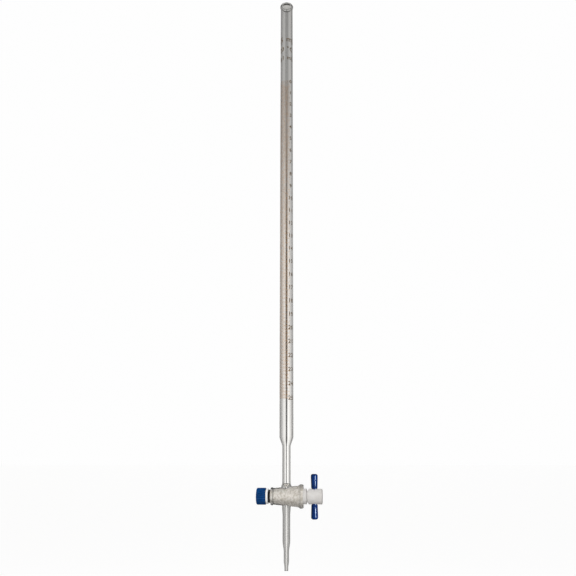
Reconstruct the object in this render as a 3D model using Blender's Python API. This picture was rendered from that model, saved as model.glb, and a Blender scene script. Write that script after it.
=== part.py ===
"""A 25 mL glass burette with a PTFE stopcock, in metres, +Z up.

The origin is on the axis of the measuring tube, at the height where a stand's clamp grips it.
The stopcock's key turns about +X: its T-handle is at the +X end, its tension nut at the -X end,
and it is open with the handle upright. Heights named ABOVE_TIP are counted from the end of the jet.
"""

import math

import bmesh
import bpy
from mathutils import Matrix

MM = 0.001

# Clearances
GAP = 0.3 * MM                       # between pieces that bear on each other
SEAT_GAP = 0.2 * MM                  # around the key, in its seat and in the nut
PUSH_GAP = 0.2 * MM                  # around the handle's rod in the key's head

# Heights above the end of the jet
TOTAL_LENGTH = 555.0 * MM
CLAMP_ABOVE_TIP = 300.0 * MM
STOPCOCK_ABOVE_TIP = 59.4 * MM
SHOULDER_TOP_ABOVE_TIP = 110.4 * MM
SHOULDER_END_ABOVE_TIP = 100.5 * MM
UPPER_WELD_ABOVE_TIP = 78.0 * MM
LOWER_WELD_ABOVE_TIP = 40.0 * MM

# Measuring tube
TUBE_RADIUS = 6.25 * MM
TUBE_BORE_RADIUS = 5.0 * MM
RIM_BEAD_RADIUS = 6.75 * MM
RIM_HEIGHT = 3.2 * MM
RIM_ROUND_OUTSIDE = 0.55 * MM
RIM_ROUND_INSIDE = 0.35 * MM
NECK_RADIUS = 3.7 * MM
NECK_BORE_RADIUS = 2.8 * MM

# Jet
LOWER_TUBE_RADIUS = 3.3 * MM
LOWER_BORE_RADIUS = 1.4 * MM
JET_STEP_TOP_ABOVE_TIP = 24.0 * MM
JET_STEP_END_ABOVE_TIP = 14.5 * MM
JET_RADIUS = 2.25 * MM
JET_CAPILLARY_RADIUS = 0.8 * MM
TIP_TAPER_ABOVE_TIP = 8.0 * MM
TIP_TAPER_END_ABOVE_TIP = 2.0 * MM
TIP_RADIUS = 1.6 * MM
TIP_BORE_RADIUS = 0.5 * MM

# Stopcock, along the key's axis from the centre of its cross bore
BARREL_SMALL_END = -13.6 * MM
BARREL_LARGE_END = 14.9 * MM
BARREL_RADIUS_AT_CENTRE = 7.92 * MM
BARREL_OUTER_SLOPE = 0.093           # radius gained per length
BEAD_LENGTH = 2.4 * MM
BEAD_HEIGHT = 0.7 * MM
LIP_LENGTH = 3.9 * MM
LIP_HEIGHT = 0.95 * MM
BEAD_EDGE = 0.3 * MM
LIP_EDGE = 0.6 * MM
KEY_LARGE_RADIUS = 6.25 * MM         # where the key leaves the barrel
KEY_SLOPE = 0.1                      # radius gained per length, a 1:5 taper
PORT_RADIUS = 1.1 * MM
PORT_FUNNEL = 2.5 * MM               # length over which a port widens to its side arm's bore
ARM_ROOT = 2.0 * MM                  # how deep a side arm is rooted in the barrel's wall
CROSS_BORE_RADIUS = 1.0 * MM
ARM_FLARE = 0.8 * MM
LOWER_ARM_FLARE = 0.45 * MM

# Key
COLLAR_END = 17.6 * MM
GROOVE_RADIUS = 4.9 * MM
HEAD_START = 19.0 * MM
HEAD_END = 31.0 * MM
HEAD_RADIUS = 6.45 * MM
HEAD_CHAMFER = 0.6 * MM
STEP = 0.1 * MM                      # length over which the key's radius changes at a step
STEM_RADIUS = 3.1 * MM
STEM_END = -24.9 * MM
STEM_POINT = 0.8 * MM
STEM_POINT_SLOPE = 0.6
THREAD_START = -15.6 * MM
THREAD_PITCH = 1.5 * MM
THREAD_DEPTH = 0.55 * MM
STEM_FLAT = 2.35 * MM                # from the axis to the flat along the stem

# Handle, ring, washer and nut
HANDLE_X = 24.2 * MM
HANDLE_HALF_LENGTH = 18.65 * MM
HANDLE_END_RADIUS = 3.0 * MM
HANDLE_WAIST_RADIUS = 2.75 * MM
HANDLE_CORE_RADIUS = 2.45 * MM
HANDLE_CORNER = 1.7 * MM
RING_RADIAL = 2.15 * MM
RING_AXIAL = 1.5 * MM
WASHER_THICKNESS = 1.8 * MM
WASHER_RADIUS = 6.45 * MM
WASHER_EDGE = 0.25 * MM
NUT_LENGTH = 8.0 * MM
NUT_RADIUS = 7.0 * MM
NUT_RIBS = 20
NUT_RIB_DEPTH = 0.5 * MM
NUT_FACE_EDGE = 0.4 * MM
NUT_CHAMFER = 1.0 * MM
NUT_MID_CHAMFER = 0.35 * NUT_CHAMFER

# Fineness of the turned shapes
GLASS_STEPS = 32
KEY_STEPS = 36
RINGS_PER_PITCH = 6
STEPS_PER_RIB = 4

TIP_Z = -CLAMP_ABOVE_TIP
STOPCOCK_Z = STOPCOCK_ABOVE_TIP - CLAMP_ABOVE_TIP
RING_START = BARREL_SMALL_END - GAP
WASHER_START = RING_START - RING_AXIAL - GAP
NUT_START = WASHER_START - WASHER_THICKNESS - GAP
NUT_END = NUT_START - NUT_LENGTH
ALONG_X = Matrix.Rotation(math.pi / 2, 4, "Y")    # carries a shape turned about Z onto X


# Curves

def s_curve(start, end, count=8):
    """Points of a smooth step between two (radius, height) points, both included."""
    points = []
    for i in range(count + 1):
        t = i / count
        blend = (1 - math.cos(math.pi * t)) / 2
        radius = start[0] + (end[0] - start[0]) * blend
        points.append((radius, start[1] + (end[1] - start[1]) * t))
    return points


def arc(centre, radii, start_deg, end_deg, count=5):
    """Points on an ellipse about centre, from one angle to another, both included."""
    points = []
    for i in range(count + 1):
        angle = math.radians(start_deg + (end_deg - start_deg) * i / count)
        points.append((centre[0] + radii[0] * math.cos(angle), centre[1] + radii[1] * math.sin(angle)))
    return points


def key_radius(x):
    """Radius of the key's ground cone at x."""
    return KEY_LARGE_RADIUS - KEY_SLOPE * (BARREL_LARGE_END - x)


def barrel_radius(x):
    """Outer radius of the barrel's wall at x, without bead or lip."""
    return BARREL_RADIUS_AT_CENTRE + BARREL_OUTER_SLOPE * x


def above_tip(height):
    """World height of a point counted from the end of the jet."""
    return TIP_Z + height


# Objects

def clear_scene():
    for thing in list(bpy.data.objects):
        bpy.data.objects.remove(thing, do_unlink=True)


def make_material(name, colour, roughness, transmission=0.0, ior=1.47):
    material = bpy.data.materials.new(name)
    material.use_nodes = True
    shader = material.node_tree.nodes["Principled BSDF"]
    shader.inputs["Base Color"].default_value = (*colour, 1.0)
    shader.inputs["Metallic"].default_value = 0.0
    shader.inputs["Roughness"].default_value = roughness
    shader.inputs["Transmission Weight"].default_value = transmission
    shader.inputs["IOR"].default_value = ior
    return material


def add_object(name, bm, material, parent=None):
    """Turn a bmesh into a smooth-shaded object."""
    bmesh.ops.recalc_face_normals(bm, faces=bm.faces)
    mesh = bpy.data.meshes.new(name)
    bm.to_mesh(mesh)
    bm.free()
    mesh.shade_smooth()
    mesh.set_sharp_from_angle(angle=math.radians(35))
    if material is not None:
        mesh.materials.append(material)
    thing = bpy.data.objects.new(name, mesh)
    bpy.context.scene.collection.objects.link(thing)
    thing.parent = parent
    return thing


def turned(profile, steps, matrix=None):
    """A bmesh turned about Z from a closed outline of (radius, height) points."""
    bm = bmesh.new()
    corners = [bm.verts.new((radius, 0.0, height)) for radius, height in profile]
    for first, second in zip(corners, corners[1:] + corners[:1]):
        if first.co.x > 0 or second.co.x > 0:
            bm.edges.new((first, second))
    bmesh.ops.spin(bm, geom=bm.verts[:] + bm.edges[:], angle=math.tau, steps=steps,
                   axis=(0, 0, 1), cent=(0, 0, 0), use_merge=True)
    bmesh.ops.remove_doubles(bm, verts=bm.verts, dist=1e-7)
    if matrix is not None:
        bmesh.ops.transform(bm, matrix=matrix, verts=bm.verts)
    return bm


def ringed(places, radius_at, steps):
    """A bmesh about X whose radius is a function of x and of the angle from +Y to +Z."""
    bm = bmesh.new()
    rings = []
    for x in places:
        ring = []
        for i in range(steps):
            angle = math.tau * i / steps
            radius = radius_at(x, angle)
            ring.append(bm.verts.new((x, radius * math.cos(angle), radius * math.sin(angle))))
        rings.append(ring)
    for near, far in zip(rings, rings[1:]):
        for i in range(steps):
            j = (i + 1) % steps
            bm.faces.new((near[i], near[j], far[j], far[i]))
    bm.faces.new(rings[0])
    bm.faces.new(rings[-1])
    return bm


def boolean(target, bm, operation, parent=None):
    """Join or cut target with a bmesh, by a modifier on a hidden guide object."""
    count = len(target.modifiers)
    guide = add_object(f"{target.name}_{operation.lower()}_{count}", bm, None, parent)
    guide.hide_render = True
    guide.display_type = "WIRE"
    modifier = target.modifiers.new(operation.title(), "BOOLEAN")
    modifier.operation = operation
    modifier.object = guide
    modifier.solver = "EXACT"


# Glass

def measuring_tube(glass):
    """Tube with a beaded rim, drawn in at the shoulder to the neck."""
    top = above_tip(TOTAL_LENGTH)
    end = above_tip(UPPER_WELD_ABOVE_TIP) + GAP / 2
    shoulder_top = above_tip(SHOULDER_TOP_ABOVE_TIP)
    shoulder_end = above_tip(SHOULDER_END_ABOVE_TIP)
    bead = RIM_BEAD_RADIUS - TUBE_RADIUS
    round_out = RIM_ROUND_OUTSIDE
    round_in = RIM_ROUND_INSIDE
    outer = arc((RIM_BEAD_RADIUS - round_out, top - round_out), (round_out, round_out), 90, 0, 4)
    outer += s_curve((RIM_BEAD_RADIUS, top - RIM_HEIGHT + 3 * bead), (TUBE_RADIUS, top - RIM_HEIGHT), 4)
    outer += s_curve((TUBE_RADIUS, shoulder_top), (NECK_RADIUS, shoulder_end), 10)
    outer.append((NECK_RADIUS, end))
    inner = [(NECK_BORE_RADIUS, end)]
    inner += s_curve((NECK_BORE_RADIUS, shoulder_end), (TUBE_BORE_RADIUS, shoulder_top), 10)
    inner += arc((TUBE_BORE_RADIUS + round_in, top - round_in), (round_in, round_in), 180, 90, 3)
    return add_object("measuring_tube", turned(outer + inner, GLASS_STEPS), glass)


def jet_tip(glass):
    """Lower tube, drawn down in two steps to the jet."""
    top = above_tip(LOWER_WELD_ABOVE_TIP) - GAP / 2
    step_top = above_tip(JET_STEP_TOP_ABOVE_TIP)
    step_end = above_tip(JET_STEP_END_ABOVE_TIP)
    outer = [(LOWER_TUBE_RADIUS, top)]
    outer += s_curve((LOWER_TUBE_RADIUS, step_top), (JET_RADIUS, step_end))
    outer += s_curve((JET_RADIUS, above_tip(TIP_TAPER_ABOVE_TIP)),
                     (TIP_RADIUS, above_tip(TIP_TAPER_END_ABOVE_TIP)), 6)
    outer.append((TIP_RADIUS, TIP_Z))
    inner = [(TIP_BORE_RADIUS, TIP_Z)]
    inner += s_curve((JET_CAPILLARY_RADIUS, step_end), (LOWER_BORE_RADIUS, step_top))
    inner.append((LOWER_BORE_RADIUS, top))
    return add_object("jet_tip", turned(outer + inner, GLASS_STEPS), glass)


def side_arm(radius, flare, length):
    """Outline of a side arm from inside the barrel's wall to its weld, flared at the barrel."""
    surface = BARREL_RADIUS_AT_CENTRE
    root = surface - ARM_ROOT
    outline = [(0.0, root), (radius + flare, root)]
    outline += s_curve((radius + flare, surface), (radius, surface + 4 * flare), 5)
    outline += [(radius, length), (0.0, length)]
    return outline


def port(bore_radius, length):
    """Outline of a port through the barrel's wall, which widens to the bore of its side arm."""
    surface = BARREL_RADIUS_AT_CENTRE
    return [(0.0, 0.0), (PORT_RADIUS, 0.0), (PORT_RADIUS, surface), (bore_radius, surface + PORT_FUNNEL),
            (bore_radius, length), (0.0, length)]


def stopcock_barrel(glass, centre):
    """Tapered barrel with bead, lip, two side arms, ground seat and ports."""
    small = BARREL_SMALL_END
    large = BARREL_LARGE_END
    upper = UPPER_WELD_ABOVE_TIP - STOPCOCK_ABOVE_TIP - GAP / 2
    lower = STOPCOCK_ABOVE_TIP - LOWER_WELD_ABOVE_TIP - GAP / 2
    bead_middle = small + BEAD_LENGTH / 2
    lip_middle = large - LIP_LENGTH / 2
    outline = [(0.0, small), (barrel_radius(small) - BEAD_EDGE, small)]
    outline += arc((barrel_radius(bead_middle), bead_middle), (BEAD_HEIGHT, BEAD_LENGTH / 2), -60, 75)
    outline.append((barrel_radius(small + 1.3 * BEAD_LENGTH), small + 1.3 * BEAD_LENGTH))
    outline.append((barrel_radius(large - 1.2 * LIP_LENGTH), large - 1.2 * LIP_LENGTH))
    outline += arc((barrel_radius(lip_middle), lip_middle), (LIP_HEIGHT, LIP_LENGTH / 2), -45, 80, 7)
    outline += [(barrel_radius(large) - LIP_EDGE, large), (0.0, large)]
    barrel = add_object("stopcock_barrel", turned(outline, KEY_STEPS, ALONG_X), glass, centre)
    boolean(barrel, turned(side_arm(NECK_RADIUS, ARM_FLARE, upper), GLASS_STEPS), "UNION", centre)
    downward = Matrix.Rotation(math.pi, 4, "X")
    boolean(barrel, turned(side_arm(LOWER_TUBE_RADIUS, LOWER_ARM_FLARE, lower), GLASS_STEPS, downward),
            "UNION", centre)
    past = 1.0 * MM
    seat = [(0.0, small - past), (key_radius(small - past) + SEAT_GAP, small - past),
            (key_radius(large + past) + SEAT_GAP, large + past), (0.0, large + past)]
    boolean(barrel, turned(seat, KEY_STEPS, ALONG_X), "DIFFERENCE", centre)
    boolean(barrel, turned(port(NECK_BORE_RADIUS, upper + past), GLASS_STEPS // 2), "DIFFERENCE", centre)
    boolean(barrel, turned(port(LOWER_BORE_RADIUS, lower + past), GLASS_STEPS // 2, downward),
            "DIFFERENCE", centre)
    return barrel


# Stopcock

def thread_radius(x, angle, crest, depth):
    """Radius of a right-hand thread about X."""
    turns = x / THREAD_PITCH - angle / math.tau
    return crest - depth * (1 + math.cos(math.tau * turns)) / 2


def thread_positions(start, end):
    """Places along X, evenly spaced at RINGS_PER_PITCH, from start down to end."""
    count = math.ceil((start - end) / THREAD_PITCH * RINGS_PER_PITCH)
    return [start + (end - start) * i / count for i in range(count + 1)]


def flatted(radius, angle, flat):
    """Radius of a round section of that radius cut by a flat at +Z."""
    toward_flat = math.sin(angle)
    if toward_flat * radius > flat:
        return flat / toward_flat
    return radius


def key_surface(x, angle):
    """Radius of the key's threaded stem."""
    fade = min(1.0, (THREAD_START - x) / THREAD_PITCH)
    pointed = max(0.0, STEM_END + STEM_POINT - x) * STEM_POINT_SLOPE
    radius = thread_radius(x, angle, STEM_RADIUS, THREAD_DEPTH * fade) - pointed
    return flatted(radius, angle, STEM_FLAT)


def stopcock_plug(ptfe, centre):
    """Key: head, neck, collar, ground cone and threaded stem, with cross bore and handle hole."""
    shoulder = BARREL_SMALL_END
    outline = [
        (HEAD_END, HEAD_RADIUS - HEAD_CHAMFER),
        (HEAD_END - HEAD_CHAMFER, HEAD_RADIUS),
        (HEAD_START + HEAD_CHAMFER / 2, HEAD_RADIUS),
        (HEAD_START, HEAD_RADIUS - HEAD_CHAMFER / 2),
        (HEAD_START - STEP, GROOVE_RADIUS),
        (COLLAR_END + STEP, GROOVE_RADIUS),
        (COLLAR_END, key_radius(COLLAR_END) - HEAD_CHAMFER),
        (COLLAR_END - HEAD_CHAMFER / 2, key_radius(COLLAR_END)),
        (0.0, key_radius(0.0)),
        (shoulder, key_radius(shoulder)),
        (shoulder - STEP, STEM_RADIUS),
    ]
    radii = dict(outline)
    places = [x for x, _ in outline] + thread_positions(THREAD_START, STEM_END)

    def radius_at(x, angle):
        if x in radii:
            return radii[x]
        return key_surface(x, angle)

    plug = add_object("stopcock_plug", ringed(places, radius_at, KEY_STEPS), ptfe, centre)
    through = 2 * HEAD_RADIUS
    bore = [(0.0, -through), (CROSS_BORE_RADIUS, -through), (CROSS_BORE_RADIUS, through), (0.0, through)]
    boolean(plug, turned(bore, 16), "DIFFERENCE", centre)
    hole_radius = HANDLE_CORE_RADIUS + PUSH_GAP
    hole = [(0.0, -through), (hole_radius, -through), (hole_radius, through), (0.0, through)]
    at_handle = Matrix.Translation((HANDLE_X, 0, 0))
    boolean(plug, turned(hole, 24, at_handle), "DIFFERENCE", centre)
    return plug


def t_handle(plastic, centre):
    """Rod through the key's head, slightly thicker towards its rounded ends."""
    half = HANDLE_HALF_LENGTH
    outside = HEAD_RADIUS + GAP
    upper = [(HANDLE_CORE_RADIUS, outside), (HANDLE_WAIST_RADIUS, outside + GAP)]
    upper.append((HANDLE_END_RADIUS, half - 2 * HANDLE_CORNER))
    upper += arc((HANDLE_END_RADIUS - HANDLE_CORNER, half - HANDLE_CORNER),
                 (HANDLE_CORNER, HANDLE_CORNER), 0, 90)
    upper.append((0.0, half))
    lower = [(radius, -height) for radius, height in reversed(upper)]
    rod = turned(lower + upper, 24, Matrix.Translation((HANDLE_X, 0, 0)))
    return add_object("t_handle", rod, plastic, centre)


def o_ring(rubber, centre):
    """Rubber ring, squeezed a little along the key."""
    middle = RING_START - RING_AXIAL / 2
    ring_radius = STEM_RADIUS + GAP + RING_RADIAL / 2
    section = arc((ring_radius, middle), (RING_RADIAL / 2, RING_AXIAL / 2), 0, 360, 12)[:-1]
    return add_object("o_ring", turned(section, GLASS_STEPS, ALONG_X), rubber, centre)


def thrust_washer(ptfe, centre):
    """Washer whose D-shaped hole keeps it from turning on the stem."""
    start = WASHER_START
    end = start - WASHER_THICKNESS
    edge = WASHER_EDGE
    outline = [(0.0, end), (WASHER_RADIUS - edge, end), (WASHER_RADIUS, end + edge),
               (WASHER_RADIUS, start - edge), (WASHER_RADIUS - edge, start), (0.0, start)]
    washer = add_object("thrust_washer", turned(outline, KEY_STEPS, ALONG_X), ptfe, centre)
    places = [start + WASHER_THICKNESS, end - WASHER_THICKNESS]

    def hole(_, angle):
        return flatted(STEM_RADIUS + GAP, angle, STEM_FLAT + GAP)

    boolean(washer, ringed(places, hole, KEY_STEPS), "DIFFERENCE", centre)
    return washer


def tension_nut(plastic, centre):
    """Ribbed nut with a rounded outer end and an internal thread that fits the stem."""
    middle = NUT_END + NUT_MID_CHAMFER
    places = [NUT_START, NUT_START - NUT_FACE_EDGE, NUT_END + NUT_CHAMFER, middle, NUT_END]
    sunk = {NUT_START: NUT_FACE_EDGE, middle: NUT_MID_CHAMFER, NUT_END: NUT_CHAMFER}

    def ribbed(x, angle):
        wave = (1 - math.cos(NUT_RIBS * angle)) / 2
        return NUT_RADIUS - NUT_RIB_DEPTH * wave - sunk.get(x, 0.0)

    nut = add_object("tension_nut", ringed(places, ribbed, NUT_RIBS * STEPS_PER_RIB), plastic, centre)

    def threaded(x, angle):
        return thread_radius(x, angle, STEM_RADIUS, THREAD_DEPTH) + SEAT_GAP

    past = 0.5 * MM
    cutter = ringed(thread_positions(NUT_START + past, NUT_END - past), threaded, KEY_STEPS)
    boolean(nut, cutter, "DIFFERENCE", centre)
    return nut


def build():
    clear_scene()
    clear_glass = make_material("clear_glass", (0.93, 0.96, 0.95), 0.02, transmission=1.0)
    ground_glass = make_material("ground_glass", (0.86, 0.86, 0.83), 0.15, transmission=1.0)
    ptfe = make_material("ptfe", (0.80, 0.78, 0.75), 0.40, ior=1.38)
    blue_plastic = make_material("blue_plastic", (0.006, 0.045, 0.21), 0.22)
    rubber = make_material("black_rubber", (0.012, 0.011, 0.010), 0.65)

    centre = bpy.data.objects.new("stopcock_centre", None)
    bpy.context.scene.collection.objects.link(centre)
    centre.location = (0.0, 0.0, STOPCOCK_Z)

    measuring_tube(clear_glass)
    stopcock_barrel(ground_glass, centre)
    jet_tip(clear_glass)
    stopcock_plug(ptfe, centre)
    t_handle(blue_plastic, centre)
    o_ring(rubber, centre)
    thrust_washer(ptfe, centre)
    tension_nut(blue_plastic, centre)


build()
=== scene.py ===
"""The look of a 25 mL glass burette with a PTFE stopcock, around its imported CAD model.

Metres, +Z up. The tube's axis is the Z axis, the scale faces -Y, and the stopcock's key lies along X.
Every piece below replaces the plain CAD solid of the same sub-part with a finely turned one.
"""
import math

import bmesh
import bpy
from mathutils import Matrix, Vector

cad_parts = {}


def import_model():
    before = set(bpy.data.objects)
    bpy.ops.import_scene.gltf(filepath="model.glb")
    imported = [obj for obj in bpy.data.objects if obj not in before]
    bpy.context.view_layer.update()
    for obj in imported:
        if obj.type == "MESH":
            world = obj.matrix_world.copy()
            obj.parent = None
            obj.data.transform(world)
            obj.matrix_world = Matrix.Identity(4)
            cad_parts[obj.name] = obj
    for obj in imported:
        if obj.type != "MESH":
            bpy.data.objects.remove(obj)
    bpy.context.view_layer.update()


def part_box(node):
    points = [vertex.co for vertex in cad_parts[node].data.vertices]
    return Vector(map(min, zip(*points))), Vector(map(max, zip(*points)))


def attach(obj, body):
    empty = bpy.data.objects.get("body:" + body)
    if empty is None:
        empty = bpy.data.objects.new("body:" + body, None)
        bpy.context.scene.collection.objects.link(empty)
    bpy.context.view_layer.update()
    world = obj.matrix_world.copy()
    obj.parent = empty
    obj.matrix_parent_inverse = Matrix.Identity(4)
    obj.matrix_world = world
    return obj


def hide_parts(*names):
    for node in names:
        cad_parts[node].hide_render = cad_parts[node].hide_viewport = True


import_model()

MM = 0.001

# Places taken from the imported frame
_, TUBE_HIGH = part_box("measuring_tube")
JET_LOW, JET_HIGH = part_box("jet_tip")
BARREL_LOW, BARREL_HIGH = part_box("stopcock_barrel")
KEY_LOW, KEY_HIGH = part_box("stopcock_plug")
HANDLE_LOW, HANDLE_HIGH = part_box("t_handle")
RING_LOW, RING_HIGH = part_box("o_ring")
WASHER_LOW, WASHER_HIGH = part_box("thrust_washer")
NUT_LOW, NUT_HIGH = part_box("tension_nut")
RIM_Z = TUBE_HIGH.z
TIP_Z = JET_LOW.z
STOPCOCK = Vector((0.0, 0.0, (HANDLE_LOW.z + HANDLE_HIGH.z) / 2))

# Glass
TUBE_RADIUS = 6.25 * MM
TUBE_BORE_RADIUS = 5.0 * MM
RIM_BEAD_RADIUS = TUBE_HIGH.x
RIM_HEIGHT = 3.2 * MM
RIM_ROUND_OUTSIDE = 0.55 * MM
RIM_ROUND_INSIDE = 0.35 * MM
SHOULDER_TOP_Z = TIP_Z + 110.4 * MM
SHOULDER_END_Z = TIP_Z + 100.5 * MM
NECK_RADIUS = 3.7 * MM
NECK_BORE_RADIUS = 2.8 * MM
LOWER_TUBE_RADIUS = JET_HIGH.x
LOWER_BORE_RADIUS = 1.4 * MM
JET_STEP_TOP_Z = TIP_Z + 24.0 * MM
JET_STEP_END_Z = TIP_Z + 14.5 * MM
JET_RADIUS = 2.25 * MM
JET_CAPILLARY_RADIUS = 0.8 * MM
TIP_TAPER_Z = TIP_Z + 8.0 * MM
TIP_TAPER_END_Z = TIP_Z + 2.0 * MM
TIP_RADIUS = 1.6 * MM
TIP_BORE_RADIUS = 0.5 * MM
TIP_EDGE = 0.2 * MM
BARREL_RADIUS_AT_CENTRE = 7.92 * MM
BARREL_OUTER_SLOPE = 0.093
BEAD_LENGTH = 2.4 * MM
BEAD_HEIGHT = 0.7 * MM
BEAD_EDGE = 0.3 * MM
LIP_LENGTH = 3.9 * MM
LIP_HEIGHT = 0.95 * MM
LIP_EDGE = 0.6 * MM
PORT_RADIUS = 1.1 * MM
PORT_FUNNEL = 2.5 * MM               # where a port widens into its arm's bore
ARM_FLARE = 0.8 * MM
LOWER_ARM_FLARE = 0.45 * MM
LOWER_ARM_ROOT = 8.0 * MM
ARM_END = 3.0 * MM                   # from the stopcock's centre, hidden in the barrel
PAST = 1.0 * MM                      # how far a cut runs past a face

# Key
KEY_LARGE_RADIUS = 6.25 * MM
KEY_SLOPE = 0.1
SEAT_GAP = 0.2 * MM
COLLAR_END = 17.6 * MM
GROOVE_RADIUS = 4.9 * MM
GROOVE_ROUND = 0.3 * MM
HEAD_START = 19.0 * MM
HEAD_RADIUS = 6.45 * MM
EDGE = 0.45 * MM
STEP = 0.05 * MM                     # run of a nearly square shoulder
STEM_RADIUS = 3.1 * MM
STEM_FLAT = 2.35 * MM
THREAD_START = -15.6 * MM
THREAD_PITCH = 1.5 * MM
THREAD_DEPTH = 0.55 * MM
STEM_POINT = 0.8 * MM
STEM_POINT_SLOPE = 0.6
CROSS_BORE_RADIUS = 1.0 * MM
HANDLE_HOLE_RADIUS = 2.65 * MM

# Handle, washer, ring and nut
HANDLE_CORE_RADIUS = 2.45 * MM
HANDLE_RIM_RADIUS = 2.6 * MM
HANDLE_SHOULDER_RADIUS = 2.75 * MM
HANDLE_WAIST_RADIUS = 2.82 * MM
HANDLE_SWELL_RADIUS = 2.93 * MM
HANDLE_CORNER = 1.7 * MM
CLEARANCE = 0.3 * MM                 # between pieces that bear on each other
RING_SQUEEZE = 0.2 * MM              # how far the ring bulges into the clearance on each side
WASHER_EDGE = 0.3 * MM
NUT_RIBS = 20
NUT_RIB_DEPTH = 0.5 * MM
NUT_RIB_SHARPNESS = 1.4
NUT_FACE_EDGE = 0.4 * MM
NUT_CHAMFER = 1.0 * MM

# Print
ML_LENGTH = 12.732 * MM              # 1 mL in a 10.0 mm bore
CAPACITY_ML = 25
ZERO_Z = TIP_Z + 461.6 * MM
LINE_WIDTH = 0.19 * MM
PRINT_LIFT = 0.008 * MM
PRINT_THICKNESS = 0.03 * MM
FULL_LINE = (-215, 46)               # degrees from the front, positive towards +X
HALF_LINE = (-200, 40)
FINE_LINE = (-190, 36)
NUMBER_HEIGHT = 3.8 * MM
NUMBER_ANGLE = 45
LEGEND_ANGLE = -4
LEGEND_ROWS = (                      # text, letter height, height above the tip
    ("25 mL", 6.0 * MM, 511.0 * MM),
    ("20 °C", 5.0 * MM, 499.5 * MM),
    ("0.1 mL", 4.5 * MM, 489.0 * MM),
)
CAP_HEIGHT = 0.72                    # of a capital, per font size
LETTER_SPACING = 1.1
BOLDNESS = 0.10 * MM
SLICE = 0.4 * MM                     # width of the strips that bend round the tube

# Fineness
ROUND = 96
RINGS_PER_PITCH = 14
RIB_STEPS = 12
MERGE = 0.0002 * MM                  # closer points than this are one point

ALONG_X = Matrix.Translation(STOPCOCK) @ Matrix.Rotation(math.pi / 2, 4, "Y")
UP = Matrix.Translation(STOPCOCK)


# Curves

def s_curve(start, end, count=16):
    """Points of a smooth step between two (radius, height) points, both included."""
    points = []
    for i in range(count + 1):
        t = i / count
        blend = (1 - math.cos(math.pi * t)) / 2
        radius = start[0] + (end[0] - start[0]) * blend
        points.append((radius, start[1] + (end[1] - start[1]) * t))
    return points


def arc(centre, radii, start_deg, end_deg, count=10):
    """Points on an ellipse about centre, from one angle to another, both included."""
    points = []
    for i in range(count + 1):
        angle = math.radians(start_deg + (end_deg - start_deg) * i / count)
        points.append((centre[0] + radii[0] * math.cos(angle), centre[1] + radii[1] * math.sin(angle)))
    return points


def barrel_radius(x):
    return BARREL_RADIUS_AT_CENTRE + BARREL_OUTER_SLOPE * x


def key_radius(x):
    return KEY_LARGE_RADIUS - KEY_SLOPE * (BARREL_HIGH.x - x)


# Meshes

def turned(profile, matrix=None, steps=ROUND):
    """A bmesh turned about Z from a closed outline of (radius, height) points."""
    bm = bmesh.new()
    corners = [bm.verts.new((radius, 0.0, height)) for radius, height in profile]
    for first, second in zip(corners, corners[1:] + corners[:1]):
        if first.co.x > 0 or second.co.x > 0:
            bm.edges.new((first, second))
    bmesh.ops.spin(bm, geom=bm.verts[:] + bm.edges[:], angle=math.tau, steps=steps,
                   axis=(0, 0, 1), cent=(0, 0, 0), use_merge=True)
    bmesh.ops.remove_doubles(bm, verts=bm.verts, dist=1e-7)
    if matrix is not None:
        bmesh.ops.transform(bm, matrix=matrix, verts=bm.verts)
    return bm


def ringed(places, radius_at, steps=ROUND):
    """A bmesh along the key's axis whose radius is a function of x and the angle from +Y to +Z."""
    bm = bmesh.new()
    rings = []
    for x in places:
        ring = []
        for i in range(steps):
            angle = math.tau * i / steps
            radius = radius_at(x, angle)
            ring.append(bm.verts.new((x, radius * math.cos(angle), radius * math.sin(angle))))
        rings.append(ring)
    for near, far in zip(rings, rings[1:]):
        for i in range(steps):
            j = (i + 1) % steps
            bm.faces.new((near[i], near[j], far[j], far[i]))
    bm.faces.new(rings[0])
    bm.faces.new(rings[-1])
    bmesh.ops.transform(bm, matrix=UP, verts=bm.verts)
    return bm


def as_object(name, bm, materials=(), sharp_deg=40.0):
    bmesh.ops.recalc_face_normals(bm, faces=bm.faces)
    mesh = bpy.data.meshes.new(name)
    bm.to_mesh(mesh)
    bm.free()
    for material in materials:
        mesh.materials.append(material)
    mesh.shade_smooth()
    mesh.set_sharp_from_angle(angle=math.radians(sharp_deg))
    thing = bpy.data.objects.new(name, mesh)
    bpy.context.scene.collection.objects.link(thing)
    return thing


def boolean(target, bm, operation, material=None):
    """Join or cut target with a bmesh, and apply it. New faces take the given material."""
    tool = as_object(f"{target.name}_tool", bm, [material] if material else [])
    modifier = target.modifiers.new("Boolean", "BOOLEAN")
    modifier.operation = operation
    modifier.object = tool
    modifier.solver = "EXACT"
    modifier.material_mode = "TRANSFER"
    bpy.context.view_layer.update()
    depsgraph = bpy.context.evaluated_depsgraph_get()
    result = bpy.data.meshes.new_from_object(target.evaluated_get(depsgraph))
    cleaned = bmesh.new()
    cleaned.from_mesh(result)
    bmesh.ops.dissolve_degenerate(cleaned, dist=MERGE / 2, edges=cleaned.edges)
    cleaned.to_mesh(result)
    cleaned.free()
    target.modifiers.clear()
    old = target.data
    target.data = result
    bpy.data.meshes.remove(old)
    bpy.data.objects.remove(tool)


# Glass

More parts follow.
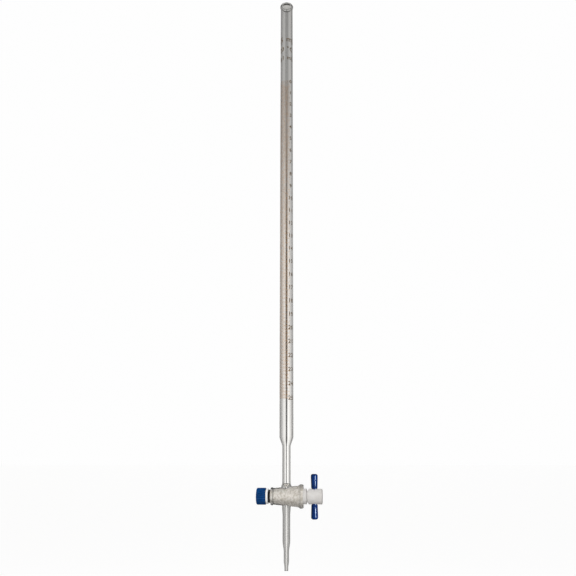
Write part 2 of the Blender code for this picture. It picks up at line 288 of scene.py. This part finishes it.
def tube_outlines():
    """Outer and inner outlines of the measuring tube and its neck, top to bottom."""
    round_out, round_in = RIM_ROUND_OUTSIDE, RIM_ROUND_INSIDE
    bead = RIM_BEAD_RADIUS - TUBE_RADIUS
    outer = arc((RIM_BEAD_RADIUS - round_out, RIM_Z - round_out), (round_out, round_out), 90, 0)
    outer += s_curve((RIM_BEAD_RADIUS, RIM_Z - RIM_HEIGHT + 3 * bead), (TUBE_RADIUS, RIM_Z - RIM_HEIGHT), 8)
    outer += s_curve((TUBE_RADIUS, SHOULDER_TOP_Z), (NECK_RADIUS, SHOULDER_END_Z), 24)
    inner = s_curve((NECK_BORE_RADIUS, SHOULDER_END_Z), (TUBE_BORE_RADIUS, SHOULDER_TOP_Z), 24)
    inner += arc((TUBE_BORE_RADIUS + round_in, RIM_Z - round_in), (round_in, round_in), 180, 90, 6)
    return outer, inner


def glass_body(clear, pressed, seat_film):
    """One lamp-worked glass body: tube, shoulder, neck, barrel, side arms and jet."""
    outer, inner = tube_outlines()
    root = STOPCOCK.z + BARREL_RADIUS_AT_CENTRE
    upper = outer + s_curve((NECK_RADIUS, root + 4 * ARM_FLARE), (NECK_RADIUS + ARM_FLARE, root), 10)
    upper += [(NECK_RADIUS + ARM_FLARE, STOPCOCK.z + ARM_END), (0.0, STOPCOCK.z + ARM_END)]
    upper = [(0.0, RIM_Z)] + upper
    body = as_object("burette_glass", turned(upper), [clear])

    small, large = BARREL_LOW.x, BARREL_HIGH.x
    bead_middle = small + BEAD_LENGTH / 2
    lip_middle = large - LIP_LENGTH / 2
    outline = [(0.0, small), (barrel_radius(small) - BEAD_EDGE, small)]
    outline += arc((barrel_radius(bead_middle), bead_middle), (BEAD_HEIGHT, BEAD_LENGTH / 2), -60, 75)
    past_bead, before_lip = small + 1.3 * BEAD_LENGTH, large - 1.2 * LIP_LENGTH
    outline += [(barrel_radius(past_bead), past_bead), (barrel_radius(before_lip), before_lip)]
    outline += arc((barrel_radius(lip_middle), lip_middle), (LIP_HEIGHT, LIP_LENGTH / 2), -45, 80, 14)
    outline += [(barrel_radius(large) - LIP_EDGE, large), (0.0, large)]
    boolean(body, turned(outline, ALONG_X), "UNION", pressed)

    floor_root = STOPCOCK.z - BARREL_RADIUS_AT_CENTRE
    lower = [(0.0, STOPCOCK.z - ARM_END), (LOWER_TUBE_RADIUS + LOWER_ARM_FLARE, STOPCOCK.z - ARM_END)]
    lower += s_curve((LOWER_TUBE_RADIUS + LOWER_ARM_FLARE, floor_root),
                     (LOWER_TUBE_RADIUS, floor_root - LOWER_ARM_ROOT), 12)
    lower += s_curve((LOWER_TUBE_RADIUS, JET_STEP_TOP_Z), (JET_RADIUS, JET_STEP_END_Z))
    lower += s_curve((JET_RADIUS, TIP_TAPER_Z), (TIP_RADIUS, TIP_TAPER_END_Z), 10)
    lower += [(TIP_RADIUS, TIP_Z + TIP_EDGE), (TIP_RADIUS - TIP_EDGE, TIP_Z), (0.0, TIP_Z)]
    boolean(body, turned(lower), "UNION", clear)

    bore = [(0.0, STOPCOCK.z), (PORT_RADIUS, STOPCOCK.z), (PORT_RADIUS, root),
            (NECK_BORE_RADIUS, root + PORT_FUNNEL)]
    bore += inner + [(inner[-1][0], RIM_Z + PAST), (0.0, RIM_Z + PAST)]
    boolean(body, turned(bore), "DIFFERENCE", clear)
    drain = [(0.0, STOPCOCK.z), (PORT_RADIUS, STOPCOCK.z), (PORT_RADIUS, floor_root),
             (LOWER_BORE_RADIUS, floor_root - PORT_FUNNEL)]
    drain += s_curve((LOWER_BORE_RADIUS, JET_STEP_TOP_Z), (JET_CAPILLARY_RADIUS, JET_STEP_END_Z))
    drain += [(TIP_BORE_RADIUS, TIP_Z), (TIP_BORE_RADIUS, TIP_Z - PAST), (0.0, TIP_Z - PAST)]
    boolean(body, turned(drain), "DIFFERENCE", clear)
    seat = [(0.0, small - PAST), (key_radius(small - PAST) + SEAT_GAP, small - PAST),
            (key_radius(large + PAST) + SEAT_GAP, large + PAST), (0.0, large + PAST)]
    boolean(body, turned(seat, ALONG_X), "DIFFERENCE", seat_film)
    body.data.shade_smooth()
    body.data.set_sharp_from_angle(angle=math.radians(32))
    return body


# Print on the glass

def print_point(angle, height, radius):
    """A point on the tube at an angle from the front, positive towards +X."""
    return Vector((radius * math.sin(angle), -radius * math.cos(angle), height))


def add_line(bm, height, ends):
    """A thin raised strip round the tube, between two angles in degrees."""
    start_deg, end_deg = ends
    steps = max(4, round((end_deg - start_deg) / 6))
    low = TUBE_RADIUS + PRINT_LIFT
    high = low + PRINT_THICKNESS
    half = LINE_WIDTH / 2
    section = [(low, -half), (high, -half), (high, half), (low, half)]
    rings = []
    for i in range(steps + 1):
        angle = math.radians(start_deg + (end_deg - start_deg) * i / steps)
        rings.append([bm.verts.new(print_point(angle, height + z, r)) for r, z in section])
    for near, far in zip(rings, rings[1:]):
        for i in range(4):
            j = (i + 1) % 4
            bm.faces.new((near[i], near[j], far[j], far[i]))
    bm.faces.new(rings[0])
    bm.faces.new(rings[-1])


def scale_lines(enamel):
    """A line for each 0.1 mL: the longest at each mL, shorter ones at each half and in between."""
    bm = bmesh.new()
    for division in range(CAPACITY_ML * 10 + 1):
        height = ZERO_Z - division * ML_LENGTH / 10
        if division % 10 == 0:
            add_line(bm, height, FULL_LINE)
        elif division % 5 == 0:
            add_line(bm, height, HALF_LINE)
        else:
            add_line(bm, height, FINE_LINE)
    return as_object("scale_lines", bm, [enamel])


def printed_text(name, rows, enamel):
    """Text wrapped on the tube. Each row is (text, letter height, middle angle, middle height)."""
    bm = bmesh.new()
    for text, size, angle_deg, height in rows:
        curve = bpy.data.curves.new(name, "FONT")
        curve.body = text
        curve.size = size / CAP_HEIGHT
        curve.align_x = "CENTER"
        curve.extrude = PRINT_THICKNESS / 2
        curve.offset = BOLDNESS
        curve.space_character = LETTER_SPACING
        curve.resolution_u = 3
        holder = bpy.data.objects.new(name, curve)
        bpy.context.scene.collection.objects.link(holder)
        bpy.context.view_layer.update()
        depsgraph = bpy.context.evaluated_depsgraph_get()
        flat = bpy.data.meshes.new_from_object(holder.evaluated_get(depsgraph))
        part = bmesh.new()
        part.from_mesh(flat)
        left = min(v.co.x for v in part.verts)
        right = max(v.co.x for v in part.verts)
        x = left + SLICE
        while x < right:
            bmesh.ops.bisect_plane(part, geom=part.verts[:] + part.edges[:] + part.faces[:],
                                   plane_co=(x, 0, 0), plane_no=(1, 0, 0))
            x += SLICE
        bmesh.ops.remove_doubles(part, verts=part.verts, dist=MERGE)
        bmesh.ops.dissolve_degenerate(part, dist=MERGE, edges=part.edges)
        base = TUBE_RADIUS + PRINT_LIFT + PRINT_THICKNESS / 2
        for v in part.verts:
            angle = math.radians(angle_deg) + v.co.x / TUBE_RADIUS
            v.co = print_point(angle, height + v.co.y - size / 2, base + v.co.z)
        bent = bpy.data.meshes.new(name)
        part.to_mesh(bent)
        part.free()
        bm.from_mesh(bent)
        bpy.data.meshes.remove(bent)
        bpy.data.meshes.remove(flat)
        bpy.data.objects.remove(holder)
        bpy.data.curves.remove(curve)
    return as_object(name, bm, [enamel], 20)


# Stopcock

def thread_radius(x, angle, crest, depth):
    turns = x / THREAD_PITCH - angle / math.tau
    return crest - depth * (1 + math.cos(math.tau * turns)) / 2


def thread_positions(start, end):
    count = math.ceil((start - end) / THREAD_PITCH * RINGS_PER_PITCH)
    return [start + (end - start) * i / count for i in range(count + 1)]


def flatted(radius, angle, flat):
    toward_flat = math.sin(angle)
    if toward_flat * radius > flat:
        return flat / toward_flat
    return radius


def rounded_corner(x_edge, radius, away, count=5):
    """Places and radii of a rounded edge that starts on the end face at x_edge. away is 1 or -1."""
    points = []
    for i in range(count + 1):
        angle = math.pi / 2 * i / count
        points.append((x_edge + away * EDGE * (1 - math.cos(angle)), radius - EDGE * (1 - math.sin(angle))))
    return points


def key(ptfe):
    end = KEY_HIGH.x
    shoulder = BARREL_LOW.x
    tip = KEY_LOW.x
    outline = rounded_corner(end, HEAD_RADIUS, -1)
    outline += list(reversed(rounded_corner(HEAD_START, HEAD_RADIUS, 1)))
    groove_wall = GROOVE_RADIUS + GROOVE_ROUND - STEP
    outline += [(HEAD_START - STEP, groove_wall), (HEAD_START - GROOVE_ROUND, GROOVE_RADIUS)]
    outline += [(COLLAR_END + GROOVE_ROUND, GROOVE_RADIUS), (COLLAR_END + STEP, groove_wall)]
    outline += rounded_corner(COLLAR_END, key_radius(COLLAR_END), -1)
    outline += [(x, key_radius(x)) for x in (10 * MM, 0.0, -10 * MM, shoulder)]
    outline += [(shoulder - 2 * STEP, STEM_RADIUS)]
    radii = dict(outline)
    places = [x for x, _ in outline] + thread_positions(THREAD_START, tip)

    def radius_at(x, angle):
        if x in radii:
            return radii[x]
        fade = min(1.0, (THREAD_START - x) / THREAD_PITCH)
        point = max(0.0, tip + STEM_POINT - x) * STEM_POINT_SLOPE
        radius = thread_radius(x, angle, STEM_RADIUS, THREAD_DEPTH * fade) - point
        return flatted(radius, angle, STEM_FLAT)

    body = as_object("stopcock_key", ringed(places, radius_at), [ptfe])
    through = 2 * HEAD_RADIUS
    bore = [(0.0, -through), (CROSS_BORE_RADIUS, -through), (CROSS_BORE_RADIUS, through), (0.0, through)]
    boolean(body, turned(bore, UP, 32), "DIFFERENCE")
    hole = [(0.0, -through), (HANDLE_HOLE_RADIUS, -through), (HANDLE_HOLE_RADIUS, through), (0.0, through)]
    at_handle = UP @ Matrix.Translation(((HANDLE_LOW.x + HANDLE_HIGH.x) / 2, 0, 0))
    boolean(body, turned(hole, at_handle, 64), "DIFFERENCE")
    body.data.shade_smooth()
    body.data.set_sharp_from_angle(angle=math.radians(40))
    return body


def handle(plastic):
    half = (HANDLE_HIGH.z - HANDLE_LOW.z) / 2
    end_radius = (HANDLE_HIGH.x - HANDLE_LOW.x) / 2
    outside = HEAD_RADIUS + CLEARANCE
    upper = [(HANDLE_CORE_RADIUS, outside), (HANDLE_RIM_RADIUS, outside + STEP)]
    upper += [(HANDLE_SHOULDER_RADIUS, outside + CLEARANCE), (HANDLE_WAIST_RADIUS, outside + 3 * MM)]
    upper += [(HANDLE_SWELL_RADIUS, half - 3 * HANDLE_CORNER), (end_radius, half - 2 * HANDLE_CORNER)]
    upper += arc((end_radius - HANDLE_CORNER, half - HANDLE_CORNER), (HANDLE_CORNER, HANDLE_CORNER), 0, 90)
    upper.append((0.0, half))
    lower = [(radius, -height) for radius, height in reversed(upper)]
    at_handle = UP @ Matrix.Translation(((HANDLE_LOW.x + HANDLE_HIGH.x) / 2, 0, 0))
    return as_object("handle_rod", turned(lower + upper, at_handle), [plastic])


def ring(rubber):
    middle = (RING_LOW.x + RING_HIGH.x) / 2
    axial = (RING_HIGH.x - RING_LOW.x) / 2 + RING_SQUEEZE
    outer = (RING_HIGH.y - RING_LOW.y) / 2
    radial = (outer - STEM_RADIUS - CLEARANCE) / 2
    section = arc((outer - radial, middle), (radial, axial), 0, 360, 28)[:-1]
    return as_object("seal_ring", turned(section, ALONG_X), [rubber])


def washer(ptfe):
    start, end = WASHER_HIGH.x, WASHER_LOW.x
    radius = (WASHER_HIGH.y - WASHER_LOW.y) / 2
    rounding = (WASHER_EDGE, WASHER_EDGE)
    outline = [(0.0, end)] + arc((radius - WASHER_EDGE, end + WASHER_EDGE), rounding, -90, 0, 5)
    outline += arc((radius - WASHER_EDGE, start - WASHER_EDGE), rounding, 0, 90, 5) + [(0.0, start)]
    body = as_object("keyed_washer", turned(outline, ALONG_X), [ptfe])

    def hole(_, angle):
        return flatted(STEM_RADIUS + CLEARANCE, angle, STEM_FLAT + CLEARANCE)

    boolean(body, ringed([start + PAST, end - PAST], hole, 72), "DIFFERENCE")
    body.data.shade_smooth()
    body.data.set_sharp_from_angle(angle=math.radians(35))
    return body


def nut(plastic):
    start, end = NUT_HIGH.x, NUT_LOW.x
    radius = (NUT_HIGH.y - NUT_LOW.y) / 2
    places, sunk = [], []
    for i in range(5):
        angle = math.pi / 2 * i / 4
        places.append(start - NUT_FACE_EDGE * (1 - math.cos(angle)))
        sunk.append(NUT_FACE_EDGE * (1 - math.sin(angle)))
    for i in range(9):
        angle = math.pi / 2 * i / 8
        places.append(end + NUT_CHAMFER * (1 - math.sin(angle)))
        sunk.append(NUT_CHAMFER * (1 - math.cos(angle)))
    depth_at = dict(zip(places, sunk))

    def ribbed(x, angle):
        wave = (1 - math.cos(NUT_RIBS * angle)) / 2
        return radius - NUT_RIB_DEPTH * wave ** NUT_RIB_SHARPNESS - depth_at[x]

    body = as_object("ribbed_nut", ringed(places, ribbed, NUT_RIBS * RIB_STEPS), [plastic])

    def threaded(x, angle):
        return thread_radius(x, angle, STEM_RADIUS, THREAD_DEPTH) + SEAT_GAP

    past = PAST / 2
    boolean(body, ringed(thread_positions(start + past, end - past), threaded), "DIFFERENCE")
    body.data.shade_smooth()
    body.data.set_sharp_from_angle(angle=math.radians(40))
    return body


# Materials

def new_material(name):
    material = bpy.data.materials.new(name)
    material.use_nodes = True
    return material, material.node_tree, material.node_tree.nodes["Principled BSDF"]


def noise(tree, scale, detail=3.0):
    coords = tree.nodes.new("ShaderNodeTexCoord")
    texture = tree.nodes.new("ShaderNodeTexNoise")
    texture.inputs["Scale"].default_value = scale
    texture.inputs["Detail"].default_value = detail
    tree.links.new(coords.outputs["Object"], texture.inputs["Vector"])
    return texture


def bump(tree, shader, height, strength, distance):
    node = tree.nodes.new("ShaderNodeBump")
    node.inputs["Strength"].default_value = strength
    node.inputs["Distance"].default_value = distance
    tree.links.new(height, node.inputs["Height"])
    tree.links.new(node.outputs["Normal"], shader.inputs["Normal"])


def ramp(tree, factor, stops):
    """A colour ramp from (place, colour or grey level) stops."""
    node = tree.nodes.new("ShaderNodeValToRGB")
    elements = node.color_ramp.elements
    while len(elements) < len(stops):
        elements.new(0.5)
    for element, (place, colour) in zip(elements, stops):
        element.position = place
        element.color = (*colour, 1.0) if isinstance(colour, tuple) else (colour, colour, colour, 1.0)
    tree.links.new(factor, node.inputs["Fac"])
    return node


def clear_glass():
    material, tree, shader = new_material("clear_glass")
    shader.inputs["Base Color"].default_value = (1.0, 1.0, 1.0, 1.0)
    shader.inputs["Roughness"].default_value = 0.0
    shader.inputs["Transmission Weight"].default_value = 1.0
    shader.inputs["IOR"].default_value = 1.473
    return material


def pressed_glass():
    """The barrel's wall: clear, with the ripple that hot pressing leaves."""
    material, tree, shader = new_material("pressed_glass")
    shader.inputs["Base Color"].default_value = (1.0, 1.0, 1.0, 1.0)
    shader.inputs["Roughness"].default_value = 0.0
    shader.inputs["Transmission Weight"].default_value = 1.0
    shader.inputs["IOR"].default_value = 1.473
    ripple = noise(tree, 700, 2.0)
    bump(tree, shader, ripple.outputs["Fac"], 0.4, 0.00025)
    return material


def seat_film():
    """The barrel's seat against the white key: patches of full and partial contact, with painted shade at its
    ends.
    """
    material, tree, shader = new_material("seat_film")
    patches = noise(tree, 650, 4.0)
    colour = ramp(tree, patches.outputs["Fac"], [
        (0.36, (0.61, 0.57, 0.50)), (0.5, (0.78, 0.74, 0.685)), (0.63, (0.91, 0.88, 0.83)),
    ])
    coords = tree.nodes.new("ShaderNodeTexCoord")
    split = tree.nodes.new("ShaderNodeSeparateXYZ")
    tree.links.new(coords.outputs["Object"], split.inputs["Vector"])
    along = tree.nodes.new("ShaderNodeMapRange")
    along.inputs["From Min"].default_value = BARREL_LOW.x
    along.inputs["From Max"].default_value = BARREL_HIGH.x
    tree.links.new(split.outputs["X"], along.inputs["Value"])
    length = BARREL_HIGH.x - BARREL_LOW.x
    # Painted shade: a dark band just inside the bead at the small end and a dimmer band under the lip, where
    # the glass edges look dark.
    painted_shade_from_small_end = ((0.0, 0.95), (1.5 * MM, 0.95), (1.8 * MM, 0.25), (2.5 * MM, 0.25), (2.9 * MM, 1.0))
    painted_shade_from_large_end = ((3.4 * MM, 1.0), (2.8 * MM, 0.8), (2.2 * MM, 0.8), (1.8 * MM, 1.0))
    stops = [(x / length, level) for x, level in painted_shade_from_small_end]
    stops += [(1 - x / length, level) for x, level in painted_shade_from_large_end]
    # ends is this painted shade along the seat, multiplied into the film's colour below.
    ends = ramp(tree, along.outputs["Result"], stops)
    shade = tree.nodes.new("ShaderNodeMix")
    shade.data_type = "RGBA"
    shade.blend_type = "MULTIPLY"
    shade.inputs["Factor"].default_value = 1.0
    tree.links.new(colour.outputs["Color"], shade.inputs["A"])
    tree.links.new(ends.outputs["Color"], shade.inputs["B"])
    tree.links.new(shade.outputs["Result"], shader.inputs["Base Color"])
    shader.inputs["Roughness"].default_value = 0.6
    shader.inputs["Transmission Weight"].default_value = 0.1
    shader.inputs["IOR"].default_value = 1.38
    return material


def brown_enamel(name, dark, light, see_through):
    """Brown stain of the scale, fired into the glass. Light shines through it."""
    material, tree, shader = new_material(name)
    grain = noise(tree, 900)
    colour = ramp(tree, grain.outputs["Fac"], [(0.3, dark), (0.7, light)])
    tree.links.new(colour.outputs["Color"], shader.inputs["Base Color"])
    shader.inputs["Roughness"].default_value = 0.2
    shader.inputs["Transmission Weight"].default_value = see_through
    shader.inputs["IOR"].default_value = 1.47
    return material


def ptfe(name, dark, light):
    """Waxy white plastic with fine turning marks."""
    material, tree, shader = new_material(name)
    grain = noise(tree, 220)
    colour = ramp(tree, grain.outputs["Fac"], [(0.3, dark), (0.7, light)])
    tree.links.new(colour.outputs["Color"], shader.inputs["Base Color"])
    shader.inputs["Roughness"].default_value = 0.38
    shader.inputs["IOR"].default_value = 1.38
    shader.inputs["Subsurface Weight"].default_value = 0.25
    shader.inputs["Subsurface Radius"].default_value = (0.002, 0.002, 0.002)
    fine = noise(tree, 1600)
    bump(tree, shader, fine.outputs["Fac"], 0.25, 0.00005)
    return material


def blue_plastic(name, dark, light):
    """Glossy moulded plastic with faint flow marks."""
    material, tree, shader = new_material(name)
    grain = noise(tree, 150)
    colour = ramp(tree, grain.outputs["Fac"], [(0.3, dark), (0.7, light)])
    tree.links.new(colour.outputs["Color"], shader.inputs["Base Color"])
    shader.inputs["Roughness"].default_value = 0.22
    shader.inputs["IOR"].default_value = 1.46
    shader.inputs["Specular IOR Level"].default_value = 0.16
    fine = noise(tree, 900)
    bump(tree, shader, fine.outputs["Fac"], 0.02, 0.00005)
    return material


def black_rubber():
    material, tree, shader = new_material("black_rubber")
    grain = noise(tree, 1200)
    colour = ramp(tree, grain.outputs["Fac"], [(0.3, (0.006, 0.006, 0.005)), (0.7, (0.014, 0.013, 0.012))])
    tree.links.new(colour.outputs["Color"], shader.inputs["Base Color"])
    shader.inputs["Roughness"].default_value = 0.55
    shader.inputs["Specular IOR Level"].default_value = 0.3
    bump(tree, shader, grain.outputs["Fac"], 0.3, 0.00004)
    return material


# Studio

CAMERA_AZIMUTH = math.radians(6.0)
CAMERA_RISE = math.radians(15.0)
CAMERA_DISTANCE = 600 * MM
AIM_Z = TIP_Z + 245.4 * MM
AIM_RIGHT = 1.36 * MM


def camera():
    data = bpy.data.cameras.new("camera")
    data.lens = 40.0
    data.sensor_width = 36.0
    data.clip_start = 0.01
    thing = bpy.data.objects.new("camera", data)
    bpy.context.scene.collection.objects.link(thing)
    forward = Vector((-math.sin(CAMERA_AZIMUTH) * math.cos(CAMERA_RISE),
                      math.cos(CAMERA_AZIMUTH) * math.cos(CAMERA_RISE), math.sin(CAMERA_RISE)))
    right = Vector((math.cos(CAMERA_AZIMUTH), math.sin(CAMERA_AZIMUTH), 0.0))
    target = Vector((0.0, 0.0, AIM_Z)) + right * AIM_RIGHT
    thing.location = target - forward * CAMERA_DISTANCE
    thing.rotation_euler = forward.to_track_quat("-Z", "Y").to_euler()
    bpy.context.scene.camera = thing


def floor():
    """A white seamless floor that only the camera sees. The light below it passes through."""
    bm = bmesh.new()
    bmesh.ops.create_grid(bm, x_segments=1, y_segments=1, size=30.0)
    material, tree, shader = new_material("floor")
    shader.inputs["Base Color"].default_value = (0.1, 0.1, 0.1, 1.0)
    shader.inputs["Roughness"].default_value = 0.9
    shader.inputs["Emission Color"].default_value = (1.0, 1.0, 1.0, 1.0)
    shader.inputs["Emission Strength"].default_value = 0.93
    thing = as_object("floor", bm, [material])
    thing.location = (0.0, 0.0, TIP_Z - 0.15)
    thing.visible_diffuse = False
    thing.visible_glossy = False
    thing.visible_transmission = False
    thing.visible_shadow = False


def area_light(name, location, size, power, seen_in_glass):
    """A soft light aimed at the stopcock."""
    data = bpy.data.lights.new(name, "AREA")
    data.shape = "RECTANGLE"
    data.size, data.size_y = size
    data.energy = power
    thing = bpy.data.objects.new(name, data)
    bpy.context.scene.collection.objects.link(thing)
    thing.location = location
    thing.rotation_euler = (STOPCOCK - Vector(location)).to_track_quat("-Z", "Y").to_euler()
    thing.visible_camera = False
    thing.visible_transmission = seen_in_glass
    thing.visible_glossy = seen_in_glass
    return thing


def handle_highlight(handle_rod):
    """A bright strip that only the handle reflects."""
    strip = area_light("strip_right", (0.49, -0.59, -0.27), (0.06, 0.26), 19.0, True)
    strip.data.color = (0.66, 0.82, 1.0)
    lit = bpy.data.collections.new("lit_by_strip")
    lit.objects.link(handle_rod)
    strip.light_linking.receiver_collection = lit


def world():
    """Surroundings that the glass refracts, dark and light by direction. The camera itself sees plain white.

    Round the horizon the pattern repeats every 90 degrees, with a thin dark gap between two bright
    bands straight ahead of the camera. It changes with the height of the view, in three tiers.
    """
    scene = bpy.context.scene
    scene.world = bpy.data.worlds.new("studio")
    scene.world.use_nodes = True
    tree = scene.world.node_tree
    background = tree.nodes["Background"]
    coords = tree.nodes.new("ShaderNodeTexCoord")
    split = tree.nodes.new("ShaderNodeSeparateXYZ")
    tree.links.new(coords.outputs["Generated"], split.inputs["Vector"])

    def maths(operation, a, b=None, c=None):
        node = tree.nodes.new("ShaderNodeMath")
        node.operation = operation
        for socket, value in zip(node.inputs, (a, b, c)):
            if value is None:
                continue
            if isinstance(value, (int, float)):
                socket.default_value = value
            else:
                tree.links.new(value, socket)
        return node.outputs[0]

    turn = maths("ARCTAN2", split.outputs["X"], split.outputs["Y"])
    offset = maths("ADD", turn, CAMERA_AZIMUTH)
    period = math.radians(90)
    wrapped = maths("WRAP", offset, period / 2, -period / 2)
    place = maths("ADD", maths("DIVIDE", wrapped, period), 0.5)

    def at(degrees):
        return 0.5 + degrees / 90

    def warm(*stops):
        return [(at(degrees), (level, level * 0.985, level * 0.955)) for degrees, level in stops]

    low = ramp(tree, place, warm(
        (-45, 0.34), (-41, 0.22), (-33, 0.24), (-20, 0.40), (-12, 0.42), (-7, 0.72), (-4.5, 0.96),
        (-1.4, 0.96),
        (-0.8, 0.05), (0.9, 0.05), (1.5, 1.20), (4.5, 1.15), (7, 0.86), (12, 0.74), (20, 0.50), (33, 0.24),
        (41, 0.22), (45, 0.34),
    ))
    middle = ramp(tree, place, warm(
        (-45, 0.50), (-41, 0.30), (-30, 0.36), (-20, 0.46), (-12, 0.54), (-7, 0.72), (-4.5, 0.90), (-2, 0.85),
        (-1.2, 0.05), (0.8, 0.05), (1.8, 0.95), (3.8, 0.92), (6, 0.72), (10, 0.56), (20, 0.50), (30, 0.36),
        (41, 0.28), (45, 0.50),
    ))
    high = ramp(tree, place, warm(
        (-45, 0.45), (-41, 0.22), (-26, 0.24), (-14, 0.38), (-6, 0.46), (-4, 0.40), (-2, 0.26), (2, 0.26),
        (4, 0.40), (8, 0.47), (18, 0.40), (28, 0.24), (41, 0.22), (45, 0.45),
    ))

    def blended(factor, a, b):
        node = tree.nodes.new("ShaderNodeMix")
        node.data_type = "RGBA"
        tree.links.new(factor, node.inputs["Factor"])
        for socket, value in (("A", a), ("B", b)):
            if isinstance(value, tuple):
                node.inputs[socket].default_value = value
            else:
                tree.links.new(value, node.inputs[socket])
        return node.outputs["Result"]

    height = split.outputs["Z"]

    def above(start, width):
        """A factor that goes from 0 to 1 as a view direction rises past a height."""
        return maths("DIVIDE", maths("SUBTRACT", height, start), width)

    def below(start, width):
        return maths("DIVIDE", maths("SUBTRACT", start, height), width)

    dark = (0.035, 0.033, 0.031, 1.0)
    sides = blended(above(0.03, 0.16), low.outputs["Color"], middle.outputs["Color"])
    sides = blended(above(0.30, 0.22), sides, high.outputs["Color"])
    through_the_rim = blended(above(0.612, 0.006), sides, (0.50, 0.49, 0.47, 1.0))
    ceiling = blended(above(0.635, 0.04), through_the_rim, dark)
    ground = blended(below(-0.66, 0.05), ceiling, dark)
    everywhere = blended(below(-0.91, 0.04), ground, (0.30, 0.295, 0.285, 1.0))
    tree.links.new(everywhere, background.inputs["Color"])
    plain = tree.nodes.new("ShaderNodeBackground")
    plain.inputs["Color"].default_value = (0.99, 0.99, 0.99, 1.0)
    path = tree.nodes.new("ShaderNodeLightPath")
    mix = tree.nodes.new("ShaderNodeMixShader")
    tree.links.new(path.outputs["Is Camera Ray"], mix.inputs["Fac"])
    tree.links.new(background.outputs["Background"], mix.inputs[1])
    tree.links.new(plain.outputs["Background"], mix.inputs[2])
    tree.links.new(mix.outputs["Shader"], tree.nodes["World Output"].inputs["Surface"])


def main():
    bpy.context.scene.view_settings.view_transform = "Standard"
    clear = clear_glass()
    pressed = pressed_glass()
    film = seat_film()
    line_enamel = brown_enamel("line_enamel", (0.64, 0.30, 0.045), (0.80, 0.42, 0.085), 0.9)
    text_enamel = brown_enamel("text_enamel", (0.20, 0.135, 0.07), (0.32, 0.225, 0.125), 0.7)
    key_white = ptfe("ptfe", (0.66, 0.64, 0.62), (0.74, 0.725, 0.71))
    # Painted highlight: the washer is the key's PTFE, given a whiter copy of it.
    washer_painted_highlight = ptfe("ptfe_washer_painted_highlight", (0.93, 0.93, 0.925), (0.96, 0.96, 0.955))
    nut_blue = blue_plastic("nut_plastic", (0.0007, 0.036, 0.140), (0.0014, 0.055, 0.215))
    # Painted shade: the handle is the same blue plastic as the nut, given a much darker copy of it.
    handle_blue_painted_shade = blue_plastic("handle_plastic_painted_shade", (0.0004, 0.006, 0.030), (0.0008, 0.011, 0.054))

    glass = glass_body(clear, pressed, film)
    glass.visible_shadow = False     # the lamps reach what the glass holds
    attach(glass, "glass")
    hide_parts("measuring_tube", "stopcock_barrel", "jet_tip")

    lines = scale_lines(line_enamel)
    number_rows = [(str(ml), NUMBER_HEIGHT, NUMBER_ANGLE, ZERO_Z - ml * ML_LENGTH)
                   for ml in range(CAPACITY_ML + 1)]
    numbers = printed_text("scale_numbers", number_rows, text_enamel)
    legend_rows = [(text, size, LEGEND_ANGLE, TIP_Z + height) for text, size, height in LEGEND_ROWS]
    legend = printed_text("scale_legend", legend_rows, text_enamel)
    for piece in (lines, numbers, legend):
        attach(piece, "glass")

    for piece, body, node, slot in (
        (key(key_white), "key", "stopcock_plug", "ptfe"),
        (handle(handle_blue_painted_shade), "key", "t_handle", "blue_plastic"),
        (ring(black_rubber()), "key", "o_ring", "black_rubber"),
        (washer(washer_painted_highlight), "washer", "thrust_washer", "ptfe"),
        (nut(nut_blue), "nut", "tension_nut", "blue_plastic"),
    ):
        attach(piece, body)
        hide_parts(node)

    floor()
    world()
    handle_highlight(bpy.data.objects["handle_rod"])
    area_light("front_softbox", (-0.25, -0.90, 0.45), (0.7, 0.7), 8.0, False)
    area_light("overhead", (0.0, 0.10, 0.80), (0.9, 0.9), 3.5, False)
    area_light("under_fill", (0.15, -0.70, -0.85), (0.7, 0.7), 2.6, False)
    camera()


main()
